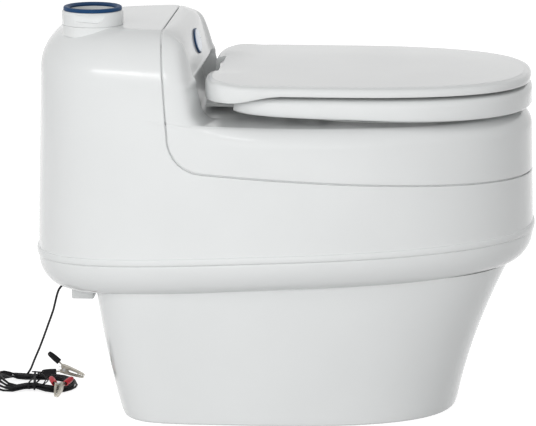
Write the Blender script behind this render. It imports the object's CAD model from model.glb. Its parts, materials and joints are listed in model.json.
# %% [markdown]
# A composting toilet, dressed over its working model. The model brings every part at its real
# size and place, so this lesson only has to give the parts their skin: smooth casing shells,
# rounded plastic, cords and finishes. All lengths below are in millimetres until a mesh is made.
# %% Load the working model
import json
import math

import bmesh
import bpy
import numpy as np
from mathutils import Matrix, Vector


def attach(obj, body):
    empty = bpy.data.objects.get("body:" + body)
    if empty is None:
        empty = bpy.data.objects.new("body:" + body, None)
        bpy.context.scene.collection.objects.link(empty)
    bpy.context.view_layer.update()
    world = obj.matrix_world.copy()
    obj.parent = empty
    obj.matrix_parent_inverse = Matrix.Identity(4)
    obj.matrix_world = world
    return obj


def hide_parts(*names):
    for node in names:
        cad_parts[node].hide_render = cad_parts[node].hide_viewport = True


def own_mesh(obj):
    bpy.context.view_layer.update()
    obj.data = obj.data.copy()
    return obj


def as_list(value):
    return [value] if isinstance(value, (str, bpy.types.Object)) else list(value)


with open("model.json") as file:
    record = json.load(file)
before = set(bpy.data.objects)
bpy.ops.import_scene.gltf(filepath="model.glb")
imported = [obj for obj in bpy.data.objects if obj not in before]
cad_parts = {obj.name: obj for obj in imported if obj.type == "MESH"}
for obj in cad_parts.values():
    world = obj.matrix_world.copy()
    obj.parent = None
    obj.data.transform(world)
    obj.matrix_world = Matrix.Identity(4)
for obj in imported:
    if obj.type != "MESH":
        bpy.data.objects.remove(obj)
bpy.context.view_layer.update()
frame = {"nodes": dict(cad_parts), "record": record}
MM = 0.001
nodes = frame["nodes"]

# %% [markdown]
# The camera stands where the photographer stood: low, a little to the front of the toilet's
# middle, and far off with a long lens, so that the casing is hardly drawn in perspective.
# %% Camera
AIM = Vector((-0.0262, 0.0, 0.2505))
DISTANCE = 5.0
SWING = math.radians(4.5)
DIP = math.radians(11.47)
FOCAL_PIXELS = 3677.6
IMAGE_WIDTH = 536
back = Vector((math.sin(SWING) * math.cos(DIP), -math.cos(SWING) * math.cos(DIP), math.sin(DIP)))
bpy.ops.object.camera_add(location=AIM + DISTANCE * back)
camera = bpy.context.object
camera.rotation_euler = back.to_track_quat("Z", "Y").to_euler()
camera.data.sensor_width = 36.0
camera.data.lens = FOCAL_PIXELS * camera.data.sensor_width / IMAGE_WIDTH
bpy.context.scene.camera = camera
print("camera at", [round(v, 3) for v in camera.location], "lens", round(camera.data.lens, 1))

# %% [markdown]
# Plastic of this kind is lit best by large soft boxes: one in front and dimmer ones behind and at
# the tower's end, which give the sides their even white and stay out of reflections, and a long
# thin one high at the rear corner for the bright streak on the tower's shoulder. The world is
# plain white to the camera and in reflections, and grey as light.
# %% World, lamps and floor
WORLD_LIGHT, FLOOR_GREY, FLOOR_GLOW, FLOOR_DROP = 0.38, 0.55, 0.78, 0.0002


def soft_box(name, place, aim, width, height, power):
    """A rectangular area lamp that looks at a point."""
    bpy.ops.object.light_add(type="AREA", location=place)
    lamp = bpy.context.object
    lamp.name = name
    lamp.data.shape = "RECTANGLE"
    lamp.data.size, lamp.data.size_y = width, height
    lamp.data.energy = power
    lamp.rotation_euler = (Vector(place) - Vector(aim)).to_track_quat("Z", "Y").to_euler()
    return lamp


front = soft_box("front_box", (-0.3, -2.9, 1.0), (-0.05, 0, 0.25), 3.2, 1.4, 48)
front.visible_glossy = False
streak = soft_box("shoulder_box", (-1.6, -1.9, 2.25), (-0.3, 0, 0.45), 1.9, 0.12, 7.5)
streak.rotation_euler.rotate_axis("Z", math.radians(14))
rear = soft_box("rear_box", (-0.4, 2.9, 1.0), (0, 0, 0.25), 3.2, 1.4, 30)
rear.visible_glossy = False
side = soft_box("side_box", (-2.7, -0.9, 0.8), (-0.3, 0, 0.25), 1.3, 1.2, 4.5)
side.visible_glossy = False

bpy.context.scene.view_settings.view_transform = "Standard"
world = bpy.data.worlds.new("studio")
bpy.context.scene.world = world
world.use_nodes = True
sky = world.node_tree
light = sky.nodes["Background"]
light.inputs["Color"].default_value = (1, 1, 1, 1)
light.inputs["Strength"].default_value = WORLD_LIGHT
seen = sky.nodes.new("ShaderNodeBackground")
seen.inputs["Color"].default_value = (1, 1, 1, 1)
seen.inputs["Strength"].default_value = 1.0


def feed(tree, value, socket):
    """Links a socket to an input, or sets the input to a plain value."""
    if isinstance(value, bpy.types.NodeSocket):
        tree.links.new(value, socket)
    else:
        socket.default_value = value


def math_node(tree, kind, a, b):
    """The result of a math node on two sockets or numbers."""
    node = tree.nodes.new("ShaderNodeMath")
    node.operation = kind
    feed(tree, a, node.inputs[0])
    feed(tree, b, node.inputs[1])
    return node.outputs[0]


def seen_white(tree):
    """1 where a camera, glossy or transmission ray looks, else 0."""
    path = tree.nodes.new("ShaderNodeLightPath")
    total = path.outputs["Is Camera Ray"]
    for ray in ("Is Glossy Ray", "Is Transmission Ray"):
        total = math_node(tree, "MAXIMUM", total, path.outputs[ray])
    return total


mix_sky = sky.nodes.new("ShaderNodeMixShader")
for value, socket in zip((seen_white(sky), light.outputs[0], seen.outputs[0]), mix_sky.inputs):
    sky.links.new(value, socket)
sky.links.new(mix_sky.outputs[0], sky.nodes["World Output"].inputs[0])

bpy.ops.mesh.primitive_plane_add(size=14, location=(0, 0, -FLOOR_DROP))
floor = bpy.context.object
floor.name = "studio_floor"
paper = bpy.data.materials.new("studio_paper")
paper.use_nodes = True
tree = paper.node_tree
cloth = tree.nodes["Principled BSDF"]
cloth.inputs["Base Color"].default_value = (FLOOR_GREY, FLOOR_GREY, FLOOR_GREY, 1)
cloth.inputs["Roughness"].default_value = 0.9
cloth.inputs["Emission Color"].default_value = (1, 1, 1, 1)
feed(tree, math_node(tree, "MULTIPLY", seen_white(tree), FLOOR_GLOW), cloth.inputs["Emission Strength"])
floor.data.materials.append(paper)
print("lamps and floor stand")

# %% [markdown]
# Every finish here is a node material. Three effects come back in most of them, so each is a
# small node group that is built once: a fine grain, a slow drift of tone, and a wear mask that
# is strong on outer edges. They read object coordinates, so they stay with the part.
# %% Shared effects
def new_group(name, inputs, outputs):
    """An empty node group with named sockets: (name, kind, value) in, (name, kind) out."""
    group = bpy.data.node_groups.new(name, "ShaderNodeTree")
    for label, kind, value in inputs:
        item = group.interface.new_socket(name=label, in_out="INPUT", socket_type="NodeSocket" + kind)
        item.default_value = value
    for label, kind in outputs:
        group.interface.new_socket(name=label, in_out="OUTPUT", socket_type="NodeSocket" + kind)
    return group, group.nodes.new("NodeGroupInput"), group.nodes.new("NodeGroupOutput")


def noise_into(group, source, scale_from, detail, rough=0.5):
    """A noise on object coordinates whose scale comes from a socket."""
    coords = group.nodes.new("ShaderNodeTexCoord")
    noise = group.nodes.new("ShaderNodeTexNoise")
    noise.inputs["Detail"].default_value = detail
    noise.inputs["Roughness"].default_value = rough
    group.links.new(coords.outputs["Object"], noise.inputs["Vector"])
    group.links.new(source.outputs[scale_from], noise.inputs["Scale"])
    return noise.outputs["Fac"]


def ranged(group, value, low, high, to_low, to_high):
    """The value, rescaled from one range to another."""
    change = group.nodes.new("ShaderNodeMapRange")
    for socket, number in zip(("From Min", "From Max", "To Min", "To Max"), (low, high, to_low, to_high)):
        change.inputs[socket].default_value = number
    group.links.new(value, change.inputs["Value"])
    return change.outputs["Result"]


def mixed_colour(tree, share, a, b):
    """Colour a where share is 0 and b where it is 1."""
    node = tree.nodes.new("ShaderNodeMix")
    node.data_type = "RGBA"
    for value, socket in ((share, 0), (a, 6), (b, 7)):
        feed(tree, value, node.inputs[socket])
    return node.outputs[2]


grain, g_in, g_out = new_group("moulding_grain", [("Scale", "Float", 900.0)], [("Height", "Float")])
grain.links.new(noise_into(grain, g_in, "Scale", 3.0), g_out.inputs["Height"])

drift, d_in, d_out = new_group(
    "tone_drift",
    [("Scale", "Float", 5.0), ("Base", "Color", (1, 1, 1, 1)), ("Shade", "Color", (0.9, 0.9, 0.9, 1))],
    [("Color", "Color"), ("Fac", "Float")],
)
drift_value = ranged(drift, noise_into(drift, d_in, "Scale", 4.0), 0.35, 0.65, 0.0, 1.0)
drift_colour = mixed_colour(drift, drift_value, d_in.outputs["Base"], d_in.outputs["Shade"])
drift.links.new(drift_colour, d_out.inputs["Color"])
drift.links.new(drift_value, d_out.inputs["Fac"])

wear, w_in, w_out = new_group("edge_wear", [("Scale", "Float", 60.0), ("Amount", "Float", 0.5)],
                              [("Mask", "Float")])
geometry = wear.nodes.new("ShaderNodeNewGeometry")
edges = ranged(wear, geometry.outputs["Pointiness"], 0.52, 0.62, 0.0, 1.0)
spots = ranged(wear, noise_into(wear, w_in, "Scale", 5.0, 0.65), 0.42, 0.62, 0.0, 1.0)
rubbed = math_node(wear, "MULTIPLY", edges, spots)
wear.links.new(math_node(wear, "MULTIPLY", rubbed, w_in.outputs["Amount"]), w_out.inputs["Mask"])
print("shared effects:", [g.name for g in bpy.data.node_groups])

# %% [markdown]
# A finish is then one line: its colour, how its tone drifts, its gloss, its grain and how much
# its edges have worn. The roughness follows the same drift, as a moulding is never equally
# glossy all over.
# %% Finishes
def placed(tree, group, **values):
    """A node group in a material, with values on its inputs."""
    node = tree.nodes.new("ShaderNodeGroup")
    node.node_tree = group
    for label, value in values.items():
        node.inputs[label].default_value = value
    return node


def finish(name, colour, shade, rough, rough_to, grain_scale, grain_depth, worn=None, wear_amount=0.0,
           drift_scale=5.0, metallic=0.0, coat=0.0, ior=1.5):
    """A procedural material for one of this toilet's finishes."""
    material = bpy.data.materials.new(name)
    material.use_nodes = True
    tree = material.node_tree
    shader = tree.nodes["Principled BSDF"]
    shader.inputs["Metallic"].default_value = metallic
    shader.inputs["Coat Weight"].default_value = coat
    shader.inputs["Coat Roughness"].default_value = 0.06
    shader.inputs["IOR"].default_value = ior
    tone = placed(tree, drift, Scale=drift_scale, Base=(*colour, 1), Shade=(*shade, 1))
    mask = placed(tree, wear, Amount=wear_amount).outputs["Mask"]
    colour_out = mixed_colour(tree, mask, tone.outputs["Color"], (*(worn or shade), 1))
    tree.links.new(colour_out, shader.inputs["Base Color"])
    tree.links.new(ranged(tree, tone.outputs["Fac"], 0, 1, rough, rough_to), shader.inputs["Roughness"])
    bump = tree.nodes.new("ShaderNodeBump")
    bump.inputs["Strength"].default_value = grain_depth
    bump.inputs["Distance"].default_value = 0.0004
    tree.links.new(placed(tree, grain, Scale=grain_scale).outputs["Height"], bump.inputs["Height"])
    tree.links.new(bump.outputs["Normal"], shader.inputs["Normal"])
    return material


FINISHES = {
    "white_shell": finish("white_moulding", (0.80, 0.815, 0.815), (0.775, 0.79, 0.79), 0.16, 0.24, 420, 0.05,
                          (0.70, 0.70, 0.68), 0.35, coat=0.25),
    "bowl_white": finish("white_bowl_moulding", (0.79, 0.80, 0.79), (0.76, 0.77, 0.76), 0.2, 0.3, 500, 0.06),
    "seal_blue": finish("blue_seal_rubber", (0.003, 0.034, 0.105), (0.005, 0.045, 0.13), 0.4, 0.55, 1400, 0.2,
                        (0.03, 0.1, 0.22), 0.4, ior=1.36),
    "badge_plate": finish("pale_blue_plate", (0.50, 0.60, 0.78), (0.54, 0.64, 0.80), 0.16, 0.24, 700, 0.03,
                          coat=0.5),
    "dark_plastic": finish("black_moulding", (0.02, 0.02, 0.022), (0.03, 0.03, 0.032), 0.42, 0.55, 1600, 0.25,
                           (0.09, 0.09, 0.09), 0.6),
    "bin_grey": finish("grey_container", (0.105, 0.11, 0.115), (0.13, 0.135, 0.14), 0.38, 0.55, 1200, 0.25,
                       (0.24, 0.24, 0.24), 0.6),
    "hose_grey": finish("drain_hose", (0.10, 0.105, 0.11), (0.13, 0.135, 0.14), 0.4, 0.5, 1800, 0.2),
    "steel": finish("drawn_steel", (0.56, 0.57, 0.58), (0.46, 0.47, 0.48), 0.22, 0.36, 2400, 0.12,
                    (0.7, 0.7, 0.7), 0.5, drift_scale=60, metallic=1.0),
    "black_rubber": finish("black_rubber", (0.006, 0.006, 0.007), (0.01, 0.01, 0.011), 0.5, 0.68, 2200, 0.3,
                           (0.03, 0.03, 0.03), 0.5, ior=1.3),
    "cord_black": finish("black_vinyl_cord", (0.004, 0.004, 0.005), (0.008, 0.008, 0.009), 0.36, 0.48, 2600,
                         0.15, ior=1.28),
    "grip_red": finish("red_vinyl_sleeve", (0.56, 0.012, 0.03), (0.44, 0.01, 0.022), 0.3, 0.42, 1500, 0.12,
                       (0.70, 0.10, 0.10), 0.4, drift_scale=40),
    "nickel": finish("dull_nickel", (0.43, 0.40, 0.34), (0.33, 0.31, 0.26), 0.3, 0.46, 1800, 0.15,
                     (0.66, 0.62, 0.54), 0.7, drift_scale=90, metallic=0.85),
}
for part in frame["record"]["subparts"]:
    mesh = nodes[part["node"]].data
    mesh.materials.clear()
    mesh.materials.append(FINISHES[part["material_slot"]])
print("finishes:", len(FINISHES))

# %% [markdown]
# The cord is the part that people notice first when it is wrong, so it comes before the casing.
# It leaves the gland, sags to the floor and goes on as a hank of flat loops drawn in at the
# waist, as one unbroken length. The route is the model's own: chosen points down to the floor,
# then a formula that spirals the loops in below and out again above, and lets the inner loops
# stand up a little at the free end.
# %% Cord route
CORD_D = 3.0
DROP = [(-295, -60, 160), (-300, -59, 159), (-306, -56, 152), (-310, -53, 141), (-315, -48, 122),
        (-323, -38, 101), (-332, -26, 78), (-340, -12, 59), (-347, 2, 44), (-353, 16, 31), (-358, 30, 20),
        (-362, 39, 13), (-366, 46, 7)]
HANK_AT = (-350, 8)
HANK_L, HANK_W = 122, 110
TURN_AT, HANK_TURNS, HANK_START = 3.444, 6.456, 110
STEP_L, STEP_W, LAYER_H = 4.2, 7.2, CORD_D + 0.8
WAIST, WAIST_L, HUMP, HUMP_L = 0.45, 22, 3.6, 25
END_RISE, END_FROM, END_L = 4.6, -20, 34
LOOP_POINTS = 24
ABOVE_FLOOR = 0.1


def smooth(t):
    """0 to 1 with level ends."""
    u = np.clip(t, 0, 1)
    return u * u * (3 - 2 * u)


def hank_point(t):
    """Point of the hank after t turns."""
    s = TURN_AT - abs(t - TURN_AT)
    a = math.radians(HANK_START + 360 * t)
    x = (HANK_L / 2 - STEP_L * s) * math.cos(a)
    narrow = 1 - WAIST * math.exp(-((x / WAIST_L) ** 2))
    lift = LAYER_H * smooth((t - TURN_AT) * 2 + 0.5) + HUMP * math.exp(-((x / HUMP_L) ** 2))
    lift += END_RISE * s * smooth((END_FROM - x) / END_L)
    y = narrow * (HANK_W / 2 - STEP_W * s) * math.sin(a)
    return (HANK_AT[0] + x, HANK_AT[1] + y, CORD_D / 2 + ABOVE_FLOOR + lift)


def curve_through(points, steps):
    """Smooth curve through points, with a number of steps between each two."""
    p = [np.array(q, float) for q in points]
    last = len(p) - 1
    made = []
    for i in range(last):
        a, b, c, d = p[max(i - 1, 0)], p[i], p[i + 1], p[min(i + 2, last)]
        for t in np.arange(steps) / steps:
            made.append(0.5 * (2 * b + (c - a) * t + (2 * a - 5 * b + 4 * c - d) * t * t
                               + (3 * b - a - 3 * c + d) * t ** 3))
    return made + [p[last]]


def length_of(points):
    """Length of a line through points."""
    return float(sum(np.linalg.norm(np.subtract(b, a)) for a, b in zip(points, points[1:])))


hank = [np.array(hank_point(i / LOOP_POINTS)) for i in range(round(HANK_TURNS * LOOP_POINTS) + 1)]
hank_in = (hank[1] - hank[0]) / np.linalg.norm(hank[1] - hank[0])
drop = curve_through(DROP + [hank[0] - 3.5 * hank_in, hank[0]], 2)
cord_route = drop + hank[1:]
print("cord:", len(cord_route), "points,", round(length_of(cord_route)), "mm")

# %% [markdown]
# Every new piece ends the same way, so one helper does it: the piece gets its finish, rides on a
# body of the model and takes the place of the plain nodes it stands for. An operator works on
# all that is selected, so another helper selects one object and nothing else.
# %% Helpers for every piece
def added(name, data):
    """A new object in the scene that shows the data."""
    piece = bpy.data.objects.new(name, data)
    bpy.context.scene.collection.objects.link(piece)
    return piece


def only(piece):
    """Selects one object and nothing else."""
    bpy.ops.object.select_all(action="DESELECT")
    piece.select_set(True)
    bpy.context.view_layer.objects.active = piece
    return piece


def meshed(curve):
    """A curve, turned into a mesh."""
    only(curve)
    bpy.ops.object.convert(target="MESH")
    return bpy.context.object


def joined(pieces):
    """Several pieces as one."""
    only(pieces[0])
    for piece in pieces:
        piece.select_set(True)
    bpy.ops.object.join()
    return bpy.context.object


def open_edges(piece):
    """How many edges don't have two faces: none on a closed piece."""
    build = bmesh.new()
    build.from_mesh(piece.data)
    loose = sum(1 for e in build.edges if len(e.link_faces) != 2)
    build.free()
    return loose


def settle(piece, body, slot, *replaced):
    """The piece gets its finish, rides on its body and stands for the nodes it replaces."""
    piece.data.materials.clear()
    piece.data.materials.append(FINISHES[slot])
    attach(piece, body)
    if replaced:
        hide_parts(*replaced)
    if piece.type == "MESH":
        print(piece.name, "on", body, len(piece.data.polygons), "faces", open_edges(piece), "open edges")
    return piece


print("helpers are ready")

# %% [markdown]
# A cord is a curve with a round section. The curve stays a poly line through the model's own
# points, thickened by the bevel of the curve.
# %% Battery cord
def cord_curve(name, route, diameter, resolution=5):
    """A round cord along a route in millimetres, as one open spline."""
    data = bpy.data.curves.new(name, "CURVE")
    data.dimensions = "3D"
    spline = data.splines.new("POLY")
    spline.points.add(len(route) - 1)
    for point, at in zip(spline.points, route):
        point.co = (*(float(v) * MM for v in at), 1)
    data.bevel_depth = diameter / 2 * MM
    data.bevel_resolution = resolution
    data.use_fill_caps = True
    spline.use_smooth = True
    return added(name, data)


cord = cord_curve("battery_cord", cord_route, CORD_D)
settle(cord, "casing", "cord_black", "cord_drop", "cord_hank")
print("cord:", CORD_D, "mm thick")

# %% [markdown]
# Where the cord ends, its two cores go on as thin leads, one to each battery clip. A clip lies at
# a place and a tilt of its own, given by a matrix, and its lead ends in the tail of the handle
# that is the lower one in the clip's frame, so the lead's last points are worked out from there.
# %% Leads
LEAD_D, LEAD_APART = 1.6, 0.82
SPREAD, TAIL = math.radians(22), (-32, 0, 3.1)
BLACK_AT, BLACK_TILT = (-311, 27, 19.8), math.radians(19)
RED_AT, RED_TILT = (-309, -47, 13.6), math.radians(11.4)
FLIP = Matrix.Diagonal((1, 1, -1, 1))


def place(x, y, z):
    """The matrix that moves a mesh to a place in millimetres."""
    return Matrix.Translation(Vector((x, y, z)) * MM)


def turn(angle, axis):
    """A turn about an axis, as a matrix."""
    return Matrix.Rotation(angle, 4, axis)


clip_frames = {"black": place(*BLACK_AT) @ turn(BLACK_TILT, "Y"),
               "red": place(*RED_AT) @ turn(RED_TILT - math.pi / 2, "X") @ turn(math.pi / 2, "Y")}
tails = {tone: np.array((at @ FLIP @ turn(SPREAD, "Y") @ place(*TAIL)).translation) / MM
         for tone, at in clip_frames.items()}
split = hank[-1]
lead_points = {
    "black": [split + v for v in ([0, LEAD_APART, 0], [4, LEAD_APART, 0], [12, 5, 1])]
    + [(-330, -2, 12), (-337, 8, 14.5), (-346, 15, 17.5)]
    + [tails["black"] + v for v in ([-12, -7, 2], [-11.5, -2, 1], [-4, 0, 0.2], [0, 0, 0])],
    "red": [split + v for v in ([0, -LEAD_APART, 0], [4, -LEAD_APART, 0], [11, -0.5, 2])]
    + [tails["red"] + v for v in ([-4, 6, 2], [-1, 7, 2], [0, 3, 0.6], [0, 0, 0])],
}
lead_routes = {tone: curve_through(points, 4) for tone, points in lead_points.items()}
leads = {tone: cord_curve(tone + "_lead", route, LEAD_D, 3) for tone, route in lead_routes.items()}
for tone, lead in leads.items():
    settle(lead, "casing", "cord_black", "lead_" + tone)
print("leads:", {tone: round(length_of(route), 1) for tone, route in lead_routes.items()}, "mm")

# %% [markdown]
# The drain hose runs inside the casing, from the bowl's spout round the container to the outlet.
# It is made like a cord. It is stiff and never moves, so it becomes a mesh.
# %% Drain hose
HOSE_D = 16
HOSE = [(-271, -30, 159), (-271, -30, 169), (-271, -30, 181), (-260, -40, 205), (-215, -80, 222),
        (-150, -140, 224), (-60, -172, 224), (60, -181, 222), (165, -156, 224), (222, -92, 246),
        (237, -30, 276), (235, 0, 306), (235, 0, 319)]
hose = meshed(cord_curve("drain_hose", curve_through(HOSE, 6), HOSE_D, 8))
settle(hose, "casing", "hose_grey", "urine_hose")

# %% [markdown]
# The casing is one flowing form: a long egg in plan, with a superellipse for its rear corners,
# a gentler one for its nose, and a tower that grows out of the rear. No primitive comes near
# it, so its skin is laid as rings of points, each worked out from a few driving sizes, first
# the outside and then the inside of the wall at the same stations.
# %% Casing sizes
BODY_L, BODY_W = 672, 456
TOWER_H, DECK_H, DECK_R, TOWER_R = 518, 403, 24, 60
FACE_LEAN = math.radians(13.8)
BEAD_H, BEAD_T, BEAD_OUT, BEAD_RISE, BEAD_SAG = 229, 9.5, 2.5, 31, 5
SKIRT_H, SKIRT_IN = 41, 33
WALL, HOOD_WALL, SEAM_GAP = 3.5, 3.1, 1.6
FOOT_L, FOOT_W, FLOOR_T = 448, 374, 5
SIDE_DRAFT, FRONT_DRAFT = math.radians(0.9), math.radians(1.1)
REAR_N, FRONT_N, TOWER_N, FACE_N, TOWER_TAPER = 3.1, 2.2, 6, 4.5, 1.45
SPLIT_X, FACE_X0, TOP_EDGE_R = -200, -97, 20
RECESS_D, RECESS_TOP, RECESS_W, FACE_DISH = 24, 453, 138, 5
CORNER_L, BLEND_L, RAMP_X, RAMP_L = 33, 130, -100, 80
FRONT_STEPS, RUN_STEPS, REAR_STEPS = 90, 18, 36
wall_l, wall_w = BODY_L / 2 - BEAD_OUT, BODY_W / 2 - BEAD_OUT


def mix(a, b, t):
    """Part t of the way from a to b."""
    return a + (b - a) * t


def power(v, p):
    """A power that keeps the sign."""
    return np.sign(v) * np.abs(v) ** p


def round_in(z, top, r):
    """How far a rounded top edge of radius r draws in at height z."""
    return 0 if z <= top - r else r - math.sqrt(max(0, r * r - (z - top + r) ** 2))


def line_z(x):
    """Height that the bead's sloping line gains at station x."""
    return BEAD_RISE * x / BODY_L - BEAD_SAG * (2 * x / BODY_L) ** 2


def rear_x(z, d):
    """Station of the rear wall at height z and inset d."""
    return -(wall_l - (z - BEAD_H) * math.tan(SIDE_DRAFT) - round_in(z, TOWER_H, TOWER_R) - d)


def front_x(z, d):
    """Station of the nose at height z and inset d."""
    return wall_l - (z - BEAD_H) * math.tan(FRONT_DRAFT) - round_in(z, DECK_H, DECK_R) - d


def deck_w(z, d):
    """Half width of the low part at height z and inset d."""
    rounding = DECK_R - np.sqrt(np.maximum(0, DECK_R ** 2 - (z - DECK_H + DECK_R) ** 2))
    draw_in = np.where(z <= DECK_H - DECK_R, 0, rounding)
    return wall_w - (z - BEAD_H) * math.tan(FRONT_DRAFT) - draw_in - d


def tower_w(z, d):
    """Half width of the tower at height z and inset d."""
    u = np.clip((z - BEAD_H) / (TOWER_H + 6 - BEAD_H), 0, 0.99)
    return wall_w * (1 - u ** TOWER_TAPER) ** (1 / TOWER_N) - d


def face_x(z, d):
    """Station of the tower's leaning face at height z and inset d."""
    return FACE_X0 - (z - DECK_H) * math.tan(FACE_LEAN) - round_in(z, TOWER_H, TOP_EDGE_R) - d


def half_w(x, z, rear, d):
    """Half width at station x and height z, where the rear end is at x = rear."""
    w = mix(deck_w(np.minimum(z, DECK_H), d), tower_w(z, d), smooth(-x / BLEND_L))
    return w * np.maximum(0, 1 - np.maximum(0, x / rear) ** REAR_N) ** (1 / REAR_N)


print("casing", BODY_L, "x", BODY_W, "mm over the bead")

# %% [markdown]
# One ring runs round the casing at one height. Its points keep to the same stations from ring
# to ring, so that rings can be joined into a skin of even, four-sided faces.
# %% One ring of the casing
def casing_ring(z_f, z_r, start, front, n, d, hollow=0, f=0):
    """Ring with height z_f in front and z_r behind, a nose of power n from start to front,
    a face dished by hollow, and a share f of the bead's slope."""
    def height(x):
        return mix(z_f, z_r, smooth((RAMP_X - x) / RAMP_L))

    def width(x):
        z = height(x)
        rears = np.array([rear_x(v, d) for v in np.atleast_1d(z)])
        return half_w(x, z, rears, d)

    side = width(np.array([start], float))[0]
    a = np.radians(90 * np.arange(FRONT_STEPS) / FRONT_STEPS)
    nose_y = side * power(np.sin(a), 2 / n)
    nose_x = start + (front - start) * power(np.cos(a), 2 / n) - hollow * smooth((RECESS_W - nose_y) / 16)
    run_x = mix(start, SPLIT_X, 1 - (1 - np.arange(RUN_STEPS) / RUN_STEPS) ** 1.6)
    rear = rear_x(z_r, d)
    b0 = math.pi - math.acos((SPLIT_X / rear) ** (REAR_N / 2))
    b = mix(b0, math.pi, np.arange(REAR_STEPS + 1) / REAR_STEPS)
    rear_points = rear * np.clip(-np.cos(b), 0, 1) ** (2 / REAR_N)
    x = np.concatenate([nose_x, run_x, rear_points])
    y = np.concatenate([nose_y, width(run_x), width(rear_points)])
    y[-1] = 0
    z = height(x) + f * line_z(x)
    half = np.stack([x, y, z], 1)
    return np.concatenate([half, half[-2:0:-1] * [1, -1, 1]])


def wall_ring(z, d, f=0.0):
    """A ring of the whole body at height z."""
    return casing_ring(z, z, 0, front_x(z, d), FRONT_N, d, f=f)


def tower_ring(z, d, z_r, grow=0, hollow=0):
    """A ring whose front end is the tower's face, moved out by grow."""
    x = face_x(z, d) + grow
    return casing_ring(z, z_r, x - CORNER_L + d, x, FACE_N, d, hollow)


def slope_share(z):
    """How much of the bead's slope a ring at height z keeps."""
    return max(0, 1 - (z - BEAD_H) / (DECK_H - DECK_R - BEAD_H))


print("a ring has", len(wall_ring(300, 0)), "points")

# %% [markdown]
# The upper skin climbs from the bead over the deck and up the tower. Most of its rings differ
# only in height. Around the bead, the deck's shoulder, the tower's foot and the hinge recess
# they crowd together, because that is where the real moulding is rounded.
# %% Rings of the upper casing and hood
FILLET_R, REAR_LIFT = 16, 7
SPINE_X, SPINE_SHARE, TOP_ROUND = -212, 0.45, 11.5
TOP_INSETS = (1, 2.2, 3.6, 5.2, 7, 9, TOP_ROUND, 15)


def upper_rings(d):
    """Rings of the skin at inset d, from the bead to the middle of the tower's top."""
    rings = []
    for a in np.radians(np.linspace(0, 180, 13)):
        out = BEAD_OUT * math.sin(a) ** 0.7 if d == 0 else 0
        rings.append(wall_ring(BEAD_H + BEAD_T * (1 - math.cos(a)) / 2, d - out, 1))
    for z in np.linspace(BEAD_H + BEAD_T + 1, DECK_H - DECK_R, 18):
        rings.append(wall_ring(z, d, slope_share(z)))
    for a in np.radians(np.linspace(0, 90, 14))[1:]:
        z = DECK_H - DECK_R + DECK_R * math.sin(a)
        low = z - d * math.sin(a)
        rings.append(casing_ring(low, low, 0, front_x(z, d), FRONT_N, d))
    foot = DECK_H - d
    edge, tower_foot = rings[-1], tower_ring(foot, d, foot + REAR_LIFT, FILLET_R, RECESS_D)
    rings += [mix(edge, tower_foot, s) for s in np.linspace(0, 1, 26)[1:]]
    for a in np.radians(np.linspace(0, 90, 9))[1:]:
        h = FILLET_R * (1 - math.cos(a))
        z_r = foot + REAR_LIFT + h * (FILLET_R - 1) / FILLET_R
        rings.append(tower_ring(foot + h, d, z_r, FILLET_R * (1 - math.sin(a)), RECESS_D))
    for z in np.linspace(foot + FILLET_R + 1, RECESS_TOP - 7 + d, 9):
        t = (z - foot - FILLET_R) / (RECESS_TOP - 6 - FILLET_R - DECK_H)
        rings.append(tower_ring(z, d, z + 6 * (1 - smooth(t)), 0, RECESS_D))
    for s in np.linspace(0, 1, 9):
        z = RECESS_TOP - 6 + d * (1 - s) + 13 * s
        dish = mix(RECESS_D, FACE_DISH, smooth(s * 1.5))
        rings.append(tower_ring(z, d, z, 1.5 * math.sin(math.pi * s), dish))
    for a in np.radians(np.linspace(10, 75, 20)):
        z = TOWER_H - TOWER_R + TOWER_R * math.sin(a) - d * math.sin(a)
        rings.append(tower_ring(z, d, z, 0, FACE_DISH))
    rim = rings[-1]
    spine = rim * [0, SPINE_SHARE, 0] + [SPINE_X, 0, 0]
    gap = np.linalg.norm((rim - spine)[:, :2], axis=1)
    top = TOWER_H - d
    for e in TOP_INSETS:
        ring = mix(rim, spine, (e / gap)[:, None])
        ring[:, 2] = top - (top - rim[0][2]) * max(0, 1 - e / TOP_ROUND) ** 2
        rings.append(ring)
    last = rings[-1]
    rings += [mix(last, spine * [1, 1, 0] + [0, 0, top], s) for s in np.linspace(0, 0.94, 20)[1:]]
    return np.array(rings)


outer_rings = upper_rings(0)
inner_rings = upper_rings(WALL)
print("upper skin:", outer_rings.shape[0], "rings")

# %% [markdown]
# The hood and the upper casing are one skin that is parted along the seam. Cutting with a
# boolean would leave a knife edge, and the real rims are rolled over. So the grid is clipped
# where a signed distance changes sign, and each cut edge is then rolled inwards in small steps
# and joined to the inner wall, which gives a closed shell with a soft rim.
# %% Clip the grid
def ring_faces(rows, count):
    """Four-sided faces between rings of equal count, each numbered on from the one before."""
    faces = []
    for j in range(0, (rows - 1) * count, count):
        for i in range(count):
            k = (i + 1) % count
            faces.append([j + i, j + k, j + count + k, j + count + i])
    return faces


def grid_of(outer, inner):
    """Points of both walls and the faces of the outer one, with a flat face in the last ring."""
    rows, count = outer.shape[:2]
    faces = ring_faces(rows, count) + [[(rows - 1) * count + i for i in range(count)]]
    return outer.reshape(-1, 3), inner.reshape(-1, 3), faces


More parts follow.
